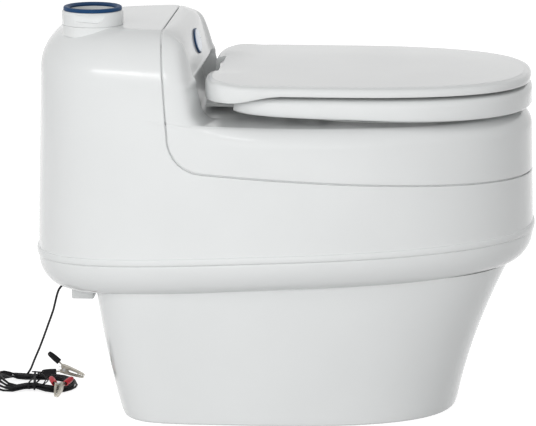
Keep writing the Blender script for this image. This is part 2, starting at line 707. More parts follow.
def clip(outer, inner, faces, field):
    """Keeps the faces where field is positive. Returns the points, faces and cut edges."""
    made, extra_o, extra_i, kept, cuts = {}, [], [], [], []

    def crossing(a, b):
        key = (min(a, b), max(a, b))
        if key not in made:
            p, q = key
            t = field[p] / (field[p] - field[q])
            made[key] = len(outer) + len(extra_o)
            extra_o.append(mix(outer[p], outer[q], t))
            extra_i.append(mix(inner[p], inner[q], t))
        return made[key]

    inside = field > 0
    for face in faces:
        flags = [inside[v] for v in face]
        if all(flags):
            kept.append(face)
            continue
        if not any(flags):
            continue
        shape, ends = [], []
        for v, w in zip(face, face[1:] + face[:1]):
            if inside[v]:
                shape.append(v)
            if inside[v] != inside[w]:
                shape.append(crossing(v, w))
                ends.append(shape[-1])
        if len(set(shape)) > 2:
            kept.append(shape)
            at = shape.index(ends[0])
            if shape[(at + 1) % len(shape)] == ends[1]:
                cuts.append((ends[0], ends[1]))
            else:
                cuts.append((ends[1], ends[0]))
    outer = np.vstack([outer, extra_o]) if extra_o else outer
    inner = np.vstack([inner, extra_i]) if extra_i else inner
    return outer, inner, kept, cuts


print("the skin's grid has", outer_rings.shape[0] * outer_rings.shape[1], "points")

# %% [markdown]
# A moulded rim is never sharp. Each cut edge moves on across the cut and curls inwards over a
# quarter turn, and from its end the wall goes back to the inner skin. The upper casing's seam
# also gets a flange, on which the hood's edge sits.
# %% Roll the rims
def point_normals(points, faces):
    """Average outward normal at each point."""
    normals = np.zeros_like(points)
    for face in faces:
        p = points[face]
        n = np.cross(p[1] - p[0], p[2] - p[0]) - np.cross(p[-1] - p[0], p[-2] - p[0])
        normals[face] += n
    lengths = np.linalg.norm(normals, axis=1, keepdims=True)
    return normals / np.maximum(lengths, 1e-9)


ROLL_R, ROLL_STEPS, FLANGE_L = 1.6, 5, 6.0


def rolled_rim(outer, inner, normals, cuts, slope, roll, flange=0.0):
    """The cut edges, the rows of points that roll them over towards the inner wall, and the place of
    each edge point in a row. slope gives the way across the cut, out of the kept side."""
    rim = sorted({v for cut in cuts for v in cut})
    p, q, n = outer[rim], inner[rim], normals[rim]
    g = slope(p)
    t = g - (g * n).sum(1, keepdims=True) * n
    t /= np.maximum(np.linalg.norm(t, axis=1, keepdims=True), 1e-9)
    rows = []
    for a in np.radians(np.linspace(0, 90, ROLL_STEPS + 1))[1:] if roll else []:
        rows.append(p + t * roll * math.sin(a) - n * roll * (1 - math.cos(a)))
    if flange:
        reach = t * (roll + flange)
        rows += [q + t * roll - n * 0.4, q + reach - n * 0.6, q + reach - n * 2.0, q - n * 2.0]
    elif roll:
        rows.append(q + t * roll)
    return cuts, rows, {v: i for i, v in enumerate(rim)}


def mesh_piece(name, points, faces):
    """A new piece from points in millimetres and faces."""
    mesh = bpy.data.meshes.new(name)
    mesh.from_pydata((np.vstack(points) * MM).tolist(), [], faces)
    mesh.update()
    return added(name, mesh)


def shell(name, outer, inner, faces, rims):
    """A closed shell: outer wall, inner wall and the rows of each rim between them."""
    used = sorted({v for face in faces for v in face})
    index = {v: i for i, v in enumerate(used)}
    count = len(used)
    points = [outer[used], inner[used]]
    shapes = [[index[v] for v in face] for face in faces]
    shapes += [[count + index[v] for v in reversed(face)] for face in faces]
    total = 2 * count
    for cuts, rows, where in rims:
        starts = [total + k * len(where) for k in range(len(rows))]
        points += rows
        total += len(rows) * len(where)
        for a, b in cuts:
            path_a, path_b = ([index[v], *(k + where[v] for k in starts), count + index[v]] for v in (a, b))
            for a0, a1, b0, b1 in zip(path_a, path_a[1:], path_b, path_b[1:]):
                shapes.append([b0, a0, a1, b1])
    return tidy_faces(mesh_piece(name, points, shapes))


def tidy_faces(piece, angle=40, gap=0.02 * MM, outwards=True):
    """Merges doubles, drops what has no area, points the faces outwards and shades them."""
    build = bmesh.new()
    build.from_mesh(piece.data)
    bmesh.ops.remove_doubles(build, verts=build.verts, dist=gap)
    bmesh.ops.dissolve_degenerate(build, edges=build.edges, dist=gap)
    if outwards:
        bmesh.ops.recalc_face_normals(build, faces=build.faces)
    build.to_mesh(piece.data)
    build.free()
    only(piece)
    bpy.ops.object.shade_smooth_by_angle(angle=math.radians(angle))
    return piece


print("rims roll over by", ROLL_R, "mm")

# %% [markdown]
# In the side view the seam runs down the tower, round a bend and forward under the deck. It is a
# line of a few points and one arc. The distance of a point from this line is what the skin is
# clipped by, and the way across the line is what its rims roll over in.
# %% The seam
SEAM_TOP, SEAM_BEND, SEAM_R, SEAM_FRONT = (-161, 560), (-143, 390), 47, (400, 317)
bend = [(SEAM_BEND[0] + SEAM_R * (1 + math.cos(a)), SEAM_BEND[1] + SEAM_R * math.sin(a))
        for a in np.radians(np.arange(182, 271, 4))]
seam_line = np.array([SEAM_TOP, *bend, SEAM_FRONT], float)


def seam_distance(points):
    """Signed distance to the seam in the side view, positive on the hood's side, and its slope."""
    p = points[:, [0, 2]]
    best = np.full(len(p), 1e9)
    signed = np.zeros(len(p))
    slope = np.zeros((len(p), 3))
    for a, b in zip(seam_line, seam_line[1:]):
        along = b - a
        t = np.clip(((p - a) @ along) / (along @ along), 0, 1)
        away = p - (a + t[:, None] * along)
        distance = np.linalg.norm(away, axis=1)
        side = np.sign(along[0] * (p[:, 1] - a[1]) - along[1] * (p[:, 0] - a[0]))
        nearer = distance < best - 1e-9
        best = np.where(nearer, distance, best)
        signed = np.where(nearer, distance * side, signed)
        slope[nearer] = np.array([-along[1], 0, along[0]]) / np.linalg.norm(along)
    return signed, slope


def over_seam(sign):
    """The way across the seam, towards the other piece."""
    return lambda p: sign * seam_distance(p)[1]


print("seam line:", len(seam_line), "points")

# %% [markdown]
# The vent stands in a hole in the casing's shoulder, and the bowl in one in the deck. Both are
# cut by the same clipping, with a circle and a superellipse as the field.
# %% Upper casing
VENT = (-255, -67)
VENT_HOLE_R, SHOULDER_Z, DEEP_INSIDE = 34.1, 440, 100
SEAM_IN = SEAM_GAP / 2 + ROLL_R


def vent_field(points):
    """Distance from the vent's hole, for points on the shoulder."""
    distance = np.hypot(points[:, 0] - VENT[0], points[:, 1] - VENT[1]) - VENT_HOLE_R
    return np.where(points[:, 2] > SHOULDER_Z, distance, DEEP_INSIDE)


def towards(x, y):
    """The level way to an upright line, for each point."""
    def slope(points):
        g = (np.array([x, y, 0]) - points) * [1, 1, 0]
        return g / np.linalg.norm(g, axis=1, keepdims=True)
    return slope


outer, inner, faces = grid_of(outer_rings, inner_rings)
outer, inner, faces, vent_cut = clip(outer, inner, faces, vent_field(outer))
outer, inner, faces, seam_cut = clip(outer, inner, faces, -seam_distance(outer)[0] - SEAM_IN)
normals = point_normals(outer, faces)
ring_count = outer_rings.shape[1]
foot_cut = [((i + 1) % ring_count, i) for i in range(ring_count)]
upper_cuts = ((vent_cut, towards(*VENT), 0), (seam_cut, over_seam(1), ROLL_R, FLANGE_L),
              (foot_cut, over_seam(-1), 0))
upper = shell("upper_casing_shell", outer, inner, faces,
              [rolled_rim(outer, inner, normals, *each) for each in upper_cuts])
print("upper casing:", len(upper.data.polygons), "faces,", open_edges(upper), "open edges")

# %% [markdown]
# The hood is the other side of the same seam, with a thinner wall. Its deck is open over the
# bowl, and that opening keeps a little inside the bowl's rim, so the rim lies on the deck.
# %% Hood
BOWL_C, BOWL_L, BOWL_W, BOWL_N = 138, 152, 146, 2.4
CHUTE_R, CHUTE_X = 75, 65
OPENING_SHARE = 0.09
OPENING_C = mix(BOWL_C, CHUTE_X, OPENING_SHARE)
DECK_LOW = DECK_H - 12


def opening_reach():
    """Angles and radii of the deck's opening, which runs a little inside the bowl's rim."""
    a = np.radians(np.arange(0, 360.1, 1.0))
    rim_x, rim_y = BOWL_L * power(np.cos(a), 2 / BOWL_N) + BOWL_C, BOWL_W * power(np.sin(a), 2 / BOWL_N)
    x = mix(rim_x, CHUTE_X + CHUTE_R * np.cos(a), OPENING_SHARE) - OPENING_C
    y = mix(rim_y, CHUTE_R * np.sin(a), OPENING_SHARE)
    angle = np.arctan2(y, x)
    order = np.argsort(angle)
    return angle[order], np.hypot(x, y)[order]


opening_angle, opening_radius = opening_reach()


def deck_field(points):
    """Distance from the deck's opening, for points on the deck."""
    x, y = points[:, 0] - OPENING_C, points[:, 1]
    edge = np.interp(np.arctan2(y, x), opening_angle, opening_radius, period=2 * math.pi)
    return np.where(points[:, 2] > DECK_LOW, np.hypot(x, y) - edge, DEEP_INSIDE)


outer, inner, faces = grid_of(outer_rings, upper_rings(HOOD_WALL))
outer, inner, faces, deck_cut = clip(outer, inner, faces, deck_field(outer))
outer, inner, faces, seam_cut = clip(outer, inner, faces, seam_distance(outer)[0] - SEAM_IN)
normals = point_normals(outer, faces)
hood_cuts = ((deck_cut, towards(OPENING_C, 0), 0), (seam_cut, over_seam(-1), ROLL_R))
hood = shell("hood_shell", outer, inner, faces,
             [rolled_rim(outer, inner, normals, *each) for each in hood_cuts])
print("hood:", len(hood.data.polygons), "faces,", open_edges(hood), "open edges")

# %% [markdown]
# The lower casing is a tapering pedestal whose top tucks out under a bead. Its rings are a
# superellipse at the floor and the casing's own outline at the skirt. The foot's points are
# taken on the same rays as the skirt's, so the faces between them stay straight.
# %% Lower casing
FOOT_X, FOOT_MID = 9, -60
FOOT_REAR, FOOT_FRONT = FOOT_X - FOOT_L / 2, FOOT_X + FOOT_L / 2
FOOT_REAR_N, FOOT_FRONT_N = 5.0, 2.8
FLARE_REAR, FLARE_FRONT, FLARE_SIDE = 36, 70, 9
SPLIT_GAP, LAP_H, LAP_T, FIT = 0.6, 9, 2.5, 0.1
FOOT_EDGE_R = 3.0


def skirt_ring(a, d):
    """Ring of the skirt at angle a of its quarter-round tuck."""
    ring = wall_ring(BEAD_H, d, 1)
    reach = np.linalg.norm(ring[:, :2], axis=1, keepdims=True)
    flat = ring[:, :2] * (1 - SKIRT_IN * (1 - math.cos(a)) / reach)
    return np.column_stack([flat, ring[:, 2] - SPLIT_GAP - (SKIRT_H - d) * math.sin(a)])


def foot_ring(t, d):
    """Ring of the pedestal at a share t of its height, on the rays of the skirt's points."""
    guide = skirt_ring(math.radians(80), 0)
    rear = FOOT_REAR - FLARE_REAR * (1.4 * t - 0.4 * t * t) + d
    front = FOOT_FRONT + FLARE_FRONT * (0.55 * t + 0.45 * t * t) - d
    w = FOOT_W / 2 + FLARE_SIDE * t - d
    ray = np.arctan2(guide[:, 1], guide[:, 0] - FOOT_MID)
    c, s = np.cos(ray), np.sin(ray)
    reach = np.where(c > 0, front - FOOT_MID, FOOT_MID - rear)
    n = np.where(c > 0, FOOT_FRONT_N, FOOT_REAR_N)
    radius = (np.abs(c / reach) ** n + np.abs(s / w) ** n) ** (-1 / n)
    x, y = FOOT_MID + radius * c, radius * s
    tuck = BEAD_H + line_z(x) - SKIRT_H + 2
    z = t * tuck + (d if t == 1 else 0)
    return np.column_stack([x, y, np.maximum(z, FLOOR_T if d else 0)])


def skin_between(name, rings, flat_ends=True, angle=40):
    """A closed solid through rings of equal count, given in order round its section."""
    rows, count = len(rings), len(rings[0])
    if flat_ends:
        ends = [list(range(count))[::-1], list(range((rows - 1) * count, rows * count))]
        faces = ring_faces(rows, count) + ends
    else:
        faces = [[v % (rows * count) for v in face] for face in ring_faces(rows + 1, count)]
    return tidy_faces(mesh_piece(name, rings, faces), angle)


def along(axis):
    """The matrix that turns an upright piece to an axis."""
    return Vector(axis).to_track_quat("Z", "Y").to_matrix().to_4x4()


def rod(start, radius, length, sides=48, axis=(0, 0, 1)):
    """A plain cylinder from its start along an axis, as a tool or a boss."""
    bpy.ops.mesh.primitive_cylinder_add(vertices=sides, radius=radius * MM, depth=length * MM)
    made = bpy.context.object
    made.data.transform(place(*(Vector(start) + Vector(axis) * length / 2)) @ along(axis))
    return made


def block(low, high, rounding=0.0, segments=3):
    """A box between two corners in millimetres, with rounded edges."""
    low, high = Vector(low), Vector(high)
    bpy.ops.mesh.primitive_cube_add(size=1)
    made = bpy.context.object
    made.data.transform(place(*(low + high) / 2) @ Matrix.Diagonal((*((high - low) * MM), 1)))
    if rounding:
        bevel = made.modifiers.new("rounding", "BEVEL")
        bevel.width, bevel.segments = rounding * MM, segments
        bpy.ops.object.modifier_apply(modifier=bevel.name)
    return made


def combine(piece, operation, *tools):
    """Cuts or adds each tool with a boolean that keeps the piece closed."""
    for tool in tools:
        change = piece.modifiers.new("shape", "BOOLEAN")
        change.operation, change.solver, change.object = operation, "MANIFOLD", tool
        only(piece)
        bpy.ops.object.modifier_apply(modifier=change.name)
        bpy.data.objects.remove(tool)
    return piece


def finished(piece, body, slot, *replaced):
    """Cleans the faces of a cut piece before it is settled."""
    tidy_faces(piece, outwards=False)
    return settle(piece, body, slot, *replaced)


rings = []
for a in np.radians([0, 30, 60, 90]):
    ring = foot_ring(0, FOOT_EDGE_R * (1 - math.sin(a)) + 0.001)
    ring[:, 2] = FOOT_EDGE_R * (1 - math.cos(a))
    rings.append(ring)
rings += [foot_ring(t, 0) for t in np.linspace(0, 1, 26)[1:]]
rings += [skirt_ring(a, 0) for a in np.radians(np.linspace(84, 0, 20))]
lap_in, lap_out = WALL + FIT + LAP_T, WALL + FIT
for inset, z in ((0.3, -0.15), (1.5, 0), (lap_out, 0), (lap_out, LAP_H), (lap_in, LAP_H), (lap_in, -2)):
    rings.append(wall_ring(BEAD_H + z, inset, 1))
rings += [skirt_ring(a, WALL) for a in np.radians(np.linspace(15, 84, 9))]
rings += [foot_ring(t, WALL) for t in np.linspace(1, 0, 12)]
lower = skin_between("lower_casing_shell", rings)
BIN_X, SPINDLE_D, BOSS_H = 60, 16, 6
FIX_X, FIX_Y, FIX_D = 300, 240, 5.5
DRAIN_AT = (-271, -30, 143)
combine(lower, "UNION", rod((BIN_X, 0, FLOOR_T - 1), (SPINDLE_D + 14) / 2, BOSS_H + 1))
holes = [rod((x, y, -1), FIX_D / 2, FLOOR_T + 4, 32)
         for x in (-FIX_X / 2, FIX_X / 2) for y in (-FIX_Y / 2, FIX_Y / 2)]
combine(lower, "DIFFERENCE", rod((BIN_X, 0, FLOOR_T - 2), SPINDLE_D / 2, BOSS_H + 10), *holes,
        rod(DRAIN_AT, (HOSE_D + 1) / 2, 60, 32))
finished(lower, "casing", "white_shell", "lower_casing")

# %% [markdown]
# Inside, the hood stands on four small shelves and comes down round the two sprung stems of
# the seat. These bosses show when the hood is lifted, so both casings get theirs, with the
# rounded edges that a mould needs.
# %% Shelves, legs and cups inside
LEG_X, LEG_L, LEG_DEEP = (-60, 150), 16, 20
SHELF_DROP, SHELF_T, SHELF_DEEP = 9, 8, 24
STEM_X, STEM_Y, STEM_D, CUP_R, CUP_LOW = -60, 50, 10, 9, 355
GUARD_X, GUARD_Z, LUG_Y = -30.3, 366, 72


def side_y(x, z):
    """Half width of the casing's outside at station x and height z."""
    behind = float(half_w(min(x, 0), z, rear_x(z, 0), 0))
    return behind * (1 - (max(x, 0) / front_x(z, 0)) ** FRONT_N) ** (1 / FRONT_N)


def seam_z(x):
    """Height of the seam under the deck."""
    return mix(342, 317, (x + 94) / 494)


def wall_block(x, side, d_in, d_out, z_low, z_high, length):
    """A block against the side wall at station x, between two insets and two heights."""
    y = min(side_y(x + length / 2, z_low), side_y(x - length / 2, z_low))
    near, far = (y - d_in, y - d_out) if side > 0 else (-y + d_out, -y + d_in)
    return block((x - length / 2, near, z_low), (x + length / 2, far, z_high), 1.0)


shelves = []
for x in LEG_X:
    z = seam_z(x) - SHELF_DROP
    shelves += [wall_block(x, side, SHELF_DEEP, 1.8, z - SHELF_T, z, LEG_L + 8) for side in (-1, 1)]
vent_boss = rod((*VENT, TOWER_H - 14), 41, 14, 96)
combine(vent_boss, "DIFFERENCE", rod((*VENT, TOWER_H - 60), VENT_HOLE_R, 80, 96))
combine(upper, "UNION", *shelves, vent_boss)
finished(upper, "casing", "white_shell", "upper_casing")
legs = []
for x in LEG_X:
    for side in (-1, 1):
        z = seam_z(x)
        legs.append(wall_block(x, side, LEG_DEEP, WALL + 3, z - SHELF_DROP, z + 14, LEG_L))
        legs.append(wall_block(x, side, LEG_DEEP, 1.5, z + 6, z + 14, LEG_L))
legs += [rod((STEM_X, y, CUP_LOW), CUP_R + 2.5, DECK_H - 1 - CUP_LOW) for y in (-STEM_Y, STEM_Y)]
legs += [block((GUARD_X - 5, y, GUARD_Z - 6), (GUARD_X + 5, y + 5, DECK_H - 1), 1.2)
         for y in (-LUG_Y - 5, LUG_Y)]
combine(hood, "UNION", *legs)
ROD_X, ROD_Y, ROD_D, PLAY = -98, 10, 8, 0.08
GUARD_ROD_X, GUARD_ROD_Y, GUARD_ROD_R = -24.8, 64, 3.6 / 2
bores = [rod((STEM_X, y, CUP_LOW + 3), CUP_R, 80) for y in (-STEM_Y, STEM_Y)]
bores += [rod((STEM_X, y, CUP_LOW - 1), STEM_D / 2 + PLAY, 10) for y in (-STEM_Y, STEM_Y)]
bores.append(rod((ROD_X, ROD_Y, DECK_LOW), ROD_D / 2 + 0.4, 30, 32))
bores.append(rod((GUARD_ROD_X, GUARD_ROD_Y, DECK_LOW), GUARD_ROD_R + 0.3, 30, 32))
bores.append(rod((GUARD_X, -100, GUARD_Z), 2.0, 200, 32, (0, 1, 0)))
combine(hood, "DIFFERENCE", *bores)
finished(hood, "hood", "white_shell", "hood", "hood_tower")

# %% [markdown]
# Ring, lid and bowl are ovals: two half superellipses that meet at the widest station. Each is
# a section that is carried round from the outer outline to the inner one. The section's few
# heights are joined by a smooth curve, so the plastic has no flats.
# %% Oval sections
SEAT_POINTS = 160


def oval(c, front, rear, w, n_f, n_r):
    """An outline about station c, with a power of its own for its front and its rear half."""
    a = 2 * math.pi * np.arange(SEAT_POINTS) / SEAT_POINTS
    k = np.cos(a)
    n = np.where(k > 0, n_f, n_r)
    x = c + np.where(k > 0, front, rear) * power(k, 2 / n)
    return np.column_stack([x, w * power(np.sin(a), 2 / n), np.zeros(SEAT_POINTS)])


def between(a, b, share, height):
    """Ring part of the way from one outline to another, with its height given by a function."""
    ring = mix(a, b, share)
    ring[:, 2] = height(ring[:, 0])
    return ring


SEAT_TOP, SEAT_T, SEAT_L, SEAT_W, SEAT_REAR = 438, 26, 404, 370, -60
SEAT_FRONT = SEAT_L - 74
HOLE_L, HOLE_W, HOLE_X = 252, 216, 136
HINGE_X, HINGE_Z, BARREL_R, PIN_D = -78, 440, 9, 8
RING_LUG_Y, LID_LUG_Y = (62, 82), (84, 104)


def under(x):
    """Underside of the ring, which rises to the rear."""
    return SEAT_TOP - SEAT_T - 2.5 + 7.5 * ((SEAT_FRONT - x) / SEAT_L) ** 2


def plate(name, low, high, outline, rounding):
    """A plate seen from the side, between two stations along Y, with rounded edges."""
    build = bmesh.new()
    base = build.faces.new([build.verts.new((x * MM, low * MM, z * MM)) for x, z in outline])
    grown = bmesh.ops.extrude_face_region(build, geom=[base])["geom"]
    far_side = [v for v in grown if isinstance(v, bmesh.types.BMVert)]
    bmesh.ops.translate(build, verts=far_side, vec=(0, (high - low) * MM, 0))
    bmesh.ops.recalc_face_normals(build, faces=build.faces)
    if rounding:
        bmesh.ops.bevel(build, geom=build.edges[:], offset=rounding * MM, segments=3, affect="EDGES",
                        profile=0.5)
    mesh = bpy.data.meshes.new(name)
    build.to_mesh(mesh)
    build.free()
    return added(name, mesh)


def side_plates(y, outline, rounding=1.2):
    """Two such plates, between the stations y on both sides of the middle."""
    return [plate("plate", *ends, outline, rounding) for ends in ((-y[1], -y[0]), y)]


def hinge_rods(y, radius):
    """Rods on the hinge line between the stations y, on both sides of the middle."""
    return [rod((HINGE_X, start, HINGE_Z), radius, y[1] - y[0], 64, (0, 1, 0)) for start in (-y[1], y[0])]


def hinge_bores(y):
    """The tools that bore both hinge barrels for the pin."""
    return hinge_rods((y[0] - 1, y[1] + 1), PIN_D / 2 + PLAY)


print("an oval has", SEAT_POINTS, "points")

# %% [markdown]
# The seat ring is domed on top and hollow below, as moulded seats are. It is cut square behind,
# to clear the open lid, and two lugs with barrels carry it on the pin.
# %% Seat ring
ring_top = curve_through([(0, -9), (0.03, -3.5), (0.12, 0), (0.4, 1.5), (0.8, -1), (0.96, -5), (1, -11)], 5)
ring_low = curve_through([(1, 6), (0.96, 3.5), (0.9, 3.5), (0.8, 9), (0.22, 9), (0.1, 1), (0.03, 0), (0, 3)],
                         4)
SEAT_C, SEAT_BACK, SEAT_N, SEAT_REAR_N = 127, 202, 2.3, 5.5
rim = oval(SEAT_C, SEAT_FRONT - SEAT_C, SEAT_BACK, SEAT_W / 2, SEAT_N, SEAT_REAR_N)
hole = oval(HOLE_X, HOLE_L / 2, HOLE_L / 2, HOLE_W / 2, SEAT_N, SEAT_N)
rings = [between(rim, hole, float(s), lambda x, h=h: SEAT_TOP + h + 0 * x) for s, h in ring_top]
rings += [between(rim, hole, float(s), lambda x, h=h: under(x) + h) for s, h in ring_low]
seat = skin_between("seat_ring_shell", rings, flat_ends=False)
combine(seat, "DIFFERENCE", block((SEAT_REAR - 60, -200, SEAT_TOP - 60), (SEAT_REAR, 200, SEAT_TOP + 20)))
lug = [(HINGE_X, HINGE_Z - 8.9), (-48, 420), (-28, 421), (-28, 435), (-58, 438), (HINGE_X, HINGE_Z + 8.9)]
combine(seat, "UNION", *side_plates(RING_LUG_Y, lug), *hinge_rods(RING_LUG_Y, BARREL_R))
combine(seat, "DIFFERENCE", *hinge_bores(RING_LUG_Y))
finished(seat, "ring", "white_shell", "seat_ring")

# %% [markdown]
# The lid is a tray upside down: nearly flat on top, with a rim that hangs lower at the hinge and
# a little rise at both rear corners. The notch leaves room for the bracket when the lid opens.
# %% Lid
LID_REAR, LID_C, LID_L, LID_W, LID_TOP, LID_WALL, LID_NOTCH = -102, 60, 430, 374, 457, 4, 62
LID_FRONT = LID_L + LID_REAR
CORNER_RISE, RIM_H_FRONT, RIM_DROP, LID_FRONT_N, LID_REAR_N = 3.0, 15, 11, 2.6, 6


def lid_low(x):
    """Lower edge of the rim, which drops towards the hinge."""
    return LID_TOP - RIM_H_FRONT - RIM_DROP * smooth((5 - x) / 72)


def lid_ring(d, height):
    """Outline of the lid at inset d, with its height given by a function."""
    ring = oval(LID_C, LID_FRONT - LID_C - d, LID_C - LID_REAR - d, LID_W / 2 - d, LID_FRONT_N, LID_REAR_N)
    ring[:, 2] = height(ring[:, 0])
    return ring


lid_in = curve_through([(150, 0), (110, 0), (60, -0.7), (20, -2.2), (6, -6.5)], 3)
lid_out = curve_through([(0, -9), (2.5, -5), (8, -2.8), (14, -2), (60, -0.7), (110, 0), (150, 0)], 5)
rings = [lid_ring(float(d), lambda x, h=h: LID_TOP - LID_WALL + h + 0 * x) for d, h in lid_in]
rings += [lid_ring(d, lambda x, h=h: lid_low(x) + h)
          for d, h in ((LID_WALL, 0), (2.2, 0), (0.7, 0.5), (0, 2))]
rings += [lid_ring(float(d), lambda x, h=h: LID_TOP + h + 0 * x) for d, h in lid_out]
for ring in rings:
    hinge_end = smooth((-42 - ring[:, 0]) / 40) * smooth((np.abs(ring[:, 1]) - 40) / 60)
    ring[:, 2] += CORNER_RISE * hinge_end * smooth((ring[:, 2] - LID_TOP + 18) / 10)
lid = skin_between("lid_shell", rings)
notch = block((LID_REAR - 6, -LID_NOTCH, LID_TOP - 40), (HINGE_X - 10, LID_NOTCH, LID_TOP + 10))
combine(lid, "DIFFERENCE", notch)
arm_top = LID_TOP - 4.5
arm = [(HINGE_X - 7, HINGE_Z), (HINGE_X + 9, HINGE_Z), (HINGE_X + 16, arm_top), (HINGE_X - 7, arm_top)]
combine(lid, "UNION", *hinge_rods(LID_LUG_Y, BARREL_R), *side_plates(LID_LUG_Y, arm, 0.4))
combine(lid, "DIFFERENCE", *hinge_bores(LID_LUG_Y))
finished(lid, "lid", "white_shell", "lid")

# %% [markdown]
# The bowl parts the liquid from the solid: it falls to the chute behind and dips to a spout in
# front. Its skin is carried from the rim's oval to the chute's circle and back under itself.
# %% Separating bowl
BOWL_LOW, DIP_DEPTH, BOWL_WALL, SPOUT_X, SPOUT_LOW, SPOUT_R, BORE_R = 380, 46, 3, 235, 336, 7, 5
bowl_rim = oval(BOWL_C, BOWL_L, BOWL_L, BOWL_W, BOWL_N, BOWL_N)
bowl_hole = oval(CHUTE_X, CHUTE_R, CHUTE_R, CHUTE_R, 2, 2)
front_share = np.maximum(0, np.cos(2 * math.pi * np.arange(SEAT_POINTS) / SEAT_POINTS)) ** 1.5


def bowl_ring(share, lift, basin=True):
    """Ring part of the way from the rim to the chute, in the basin or on the rim's level."""
    ring = mix(bowl_rim, bowl_hole, share)
    ring[:, 2] = DECK_H + lift
    if basin:
        s = max(0, (share - 0.08) / 0.92)
        fall = mix(DECK_H + 0.9, BOWL_LOW, s ** 1.2)
        ring[:, 2] = fall - DIP_DEPTH * front_share * math.sin(math.pi * s ** 0.8) + lift
    return ring


edge = curve_through([(0, 0.1), (0, 0.7), (0.004, 1.15), (0.012, 1.3), (0.05, 1.3), (0.08, 0.95)], 3)
rings = [bowl_ring(max(0.0, float(s)), float(h), False) for s, h in edge]
rings += [bowl_ring(s, 0) for s in np.linspace(0.13, 1, 26)]
rings += [bowl_ring(s, -BOWL_WALL) for s in [*np.linspace(1, 0.18, 16), 0.11]]
rings.append(bowl_ring(0.1, 0.1, False))
bowl = skin_between("separator_bowl_shell", rings, flat_ends=False)
combine(bowl, "UNION", rod((SPOUT_X, 0, SPOUT_LOW), SPOUT_R, 26))
combine(bowl, "DIFFERENCE", rod((SPOUT_X, 0, SPOUT_LOW - 6), BORE_R, 60))
finished(bowl, "hood", "bowl_white", "separator_bowl")

# %% [markdown]
# The vent and the small parts round it are turned shapes. A circle is extruded and scaled ring by
# ring along a profile of radius and height, and the last ring is merged with the first.
# %% Vent collar, seal and cord gland
def smoothed(piece):
    """Shades a piece smooth, with its sharp edges kept."""
    only(piece)
    bpy.ops.object.shade_smooth_by_angle(angle=math.radians(40))
    return piece


def moved(piece, at):
    """The mesh at its place, turned right side out again if the matrix mirrors it."""
    piece.data.transform(at)
    if at.determinant() < 0:
        piece.data.flip_normals()
    return piece


def turned(name, profile, sides, at):
    """A round piece from a closed profile of (radius, height) pairs, placed by a matrix."""
    bpy.ops.mesh.primitive_circle_add(vertices=sides, radius=profile[0][0] * MM, location=(0, 0, 0))
    piece = bpy.context.object
    piece.name = name
    piece.data.transform(place(0, 0, profile[0][1]))
    bpy.ops.object.mode_set(mode="EDIT")
    bpy.ops.mesh.select_all(action="SELECT")
    loop = list(profile) + [profile[0]]
    for (r, z), (r_next, z_next) in zip(loop, loop[1:]):
        bpy.ops.mesh.extrude_edges_move(TRANSFORM_OT_translate={"value": (0, 0, (z_next - z) * MM)})
        bpy.ops.transform.resize(value=(r_next / r, r_next / r, 1), center_override=(0, 0, 0))
    bpy.ops.mesh.select_all(action="SELECT")
    bpy.ops.mesh.remove_doubles(threshold=0.004 * MM)
    bpy.ops.mesh.normals_make_consistent(inside=False)
    bpy.ops.object.mode_set(mode="OBJECT")
    return smoothed(moved(piece, at))


def corner(r, z, radius, start, steps=4):
    """Points round a corner of a profile: centre (r, z), a quarter turn from start degrees."""
    return [(r + radius * math.cos(a), z + radius * math.sin(a))
            for a in np.radians(np.linspace(start, start + 90, steps + 1))]


def soften(piece, width, angle=35, segments=2):
    """A small bevel on every sharp edge."""
    change = piece.modifiers.new("soft_edges", "BEVEL")
    change.width, change.segments, change.limit_method = width * MM, segments, "ANGLE"
    change.angle_limit = math.radians(angle)
    only(piece)
    bpy.ops.object.modifier_apply(modifier=change.name)
    return piece


RIM_H, SEAL_T, FAN_TOP, VENT_R, COLLAR_R, SPIGOT_R = 542, 5, TOWER_H - 50, 32, 41, 34
collar_top = RIM_H - SEAL_T
collar_profile = [(VENT_R, FAN_TOP + 9), (VENT_R + 1, FAN_TOP + 8), (SPIGOT_R, FAN_TOP + 8.4),
                  (SPIGOT_R, TOWER_H - 0.2), (COLLAR_R - 1, TOWER_H),
                  *corner(COLLAR_R - 1, TOWER_H + 1, 1, -90, 3)[1:],
                  *corner(COLLAR_R - 2.4, collar_top - 2.4, 2.4, 0), (VENT_R + 0.8, collar_top),
                  (VENT_R, collar_top - 0.8)]
collar = turned("vent_collar_shell", collar_profile, 144, place(*VENT, 0))
pocket = [(VENT[0] + x, TOWER_H + z) for x, z in ((-20, 17), (-24, 8), (12, 5.5), (25, 16.5))]
collar_y = VENT[1] - COLLAR_R
combine(collar, "DIFFERENCE", plate("pocket", collar_y - 17, collar_y + 5.2, pocket, 1.2))
finished(collar, "casing", "white_shell", "vent_collar")

seal_profile = [(32.6, 0.1), (38.6, 0.1), (39, 0.6), *corner(37, 3, 2, 0), (34.6, 5), (33.6, 4.5),
                (32.5, 3.4), (31.5, 2.7), (31.2, 2.2), (31.5, 1.8), (32.5, 2.2)]
seal = turned("vent_seal_ring", seal_profile, 144, place(*VENT, collar_top))
settle(seal, "casing", "seal_blue", "vent_seal")

GLAND_AT, GLAND_L, GLAND_RIBS = (-286, -60, 160), 9, 4
gland_profile = [(1.55, -7.6), (3.6, -8), (4, -7.6), (4, 0), (5.6, 0), (6, 0.4), (6, 2.4), (5.4, 3)]
for k in range(GLAND_RIBS):
    z, r = 3.6 + 1.35 * k, 4.7 - 0.42 * k
    gland_profile += [(r - 0.7, z - 0.35), (r - 0.7, z - 0.1), (r, z + 0.1), (r, z + 0.75)]
gland_profile += [(2.6, GLAND_L - 0.3), (2.2, GLAND_L), (1.6, GLAND_L - 0.1)]
gland = turned("cord_gland_boot", gland_profile, 48, place(*GLAND_AT) @ turn(-math.pi / 2, "Y"))
settle(gland, "casing", "black_rubber", "cord_gland")

